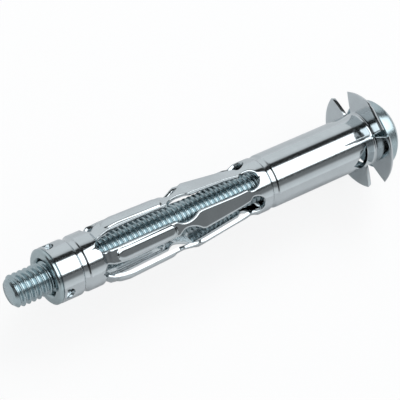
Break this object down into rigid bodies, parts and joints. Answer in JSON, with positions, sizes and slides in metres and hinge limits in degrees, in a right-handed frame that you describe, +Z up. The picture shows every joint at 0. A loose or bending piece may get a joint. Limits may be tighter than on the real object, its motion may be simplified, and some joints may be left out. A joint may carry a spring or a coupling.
{
  "type": "hollow wall anchor",
  "caption": "Metal hollow wall anchor: slotted sheet steel sleeve with a split flange, a threaded end nut and a domed cross recess screw through both.",
  "frame": {"origin": "centre of the flange's wall side, where the anchor meets the wall", "axes": "+X along the screw towards its head, +Z up, as it lies on the flange's rim and the nut's end"},
  "size_m": [0.0807, 0.0186, 0.0186],
  "materials": {
    "sleeve": "bright zinc plated",
    "nut": "bright zinc plated",
    "screw": "bright zinc plated"
  },
  "bodies": {
    "anchor": {"sleeve": "sleeve", "nut": "nut"},
    "screw": {"screw": "screw"}
  },
  "joints": [
    {"name": "screw_turn", "type": "hinge", "parent": "anchor", "child": "screw", "pos_m": [0, 0, 0], "axis": [1, 0, 0], "continuous": true}
  ]
}
